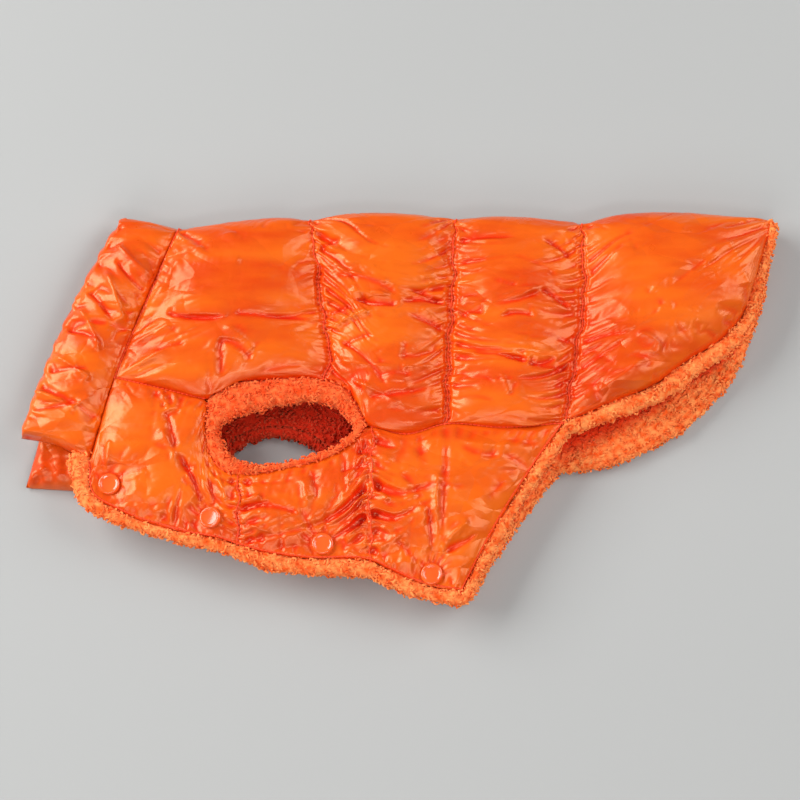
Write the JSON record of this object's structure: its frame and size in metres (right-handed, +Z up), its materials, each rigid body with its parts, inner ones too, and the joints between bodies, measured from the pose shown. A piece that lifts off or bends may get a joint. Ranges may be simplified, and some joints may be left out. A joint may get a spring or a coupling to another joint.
{
  "type": "dog winter coat",
  "caption": "Quilted small-dog winter coat with stand collar, sherpa lining, leg holes and snapped belly, lying folded on its side.",
  "frame": {"origin": "centre of the coat's box in plan, on the surface it lies on", "axes": "+X from collar to tail flap, +Y towards the folded spine, +Z up from the surface"},
  "size_m": [0.4426, 0.2326, 0.0327],
  "materials": {
    "shell": "glossy coated nylon over padding",
    "sherpa": "matt curly pile",
    "snap": "glossy moulded cap"
  },
  "bodies": {
    "root": {"back_shoulder": "shell", "back_mid_front": "shell", "back_mid_rear": "shell", "back_tail": "shell", "belly_far": "shell", "belly_near": "shell", "collar": "shell", "leg_ring_far": "sherpa", "leg_ring_near": "sherpa", "lining_back": "sherpa", "lining_belly_far": "sherpa", "lining_belly_near": "sherpa", "roll_belly_near": "sherpa", "roll_rear_far": "sherpa", "roll_tail": "sherpa", "snap_cap_1": "snap", "snap_cap_2": "snap", "snap_cap_3": "snap", "snap_cap_4": "snap"}
  },
  "joints": []
}
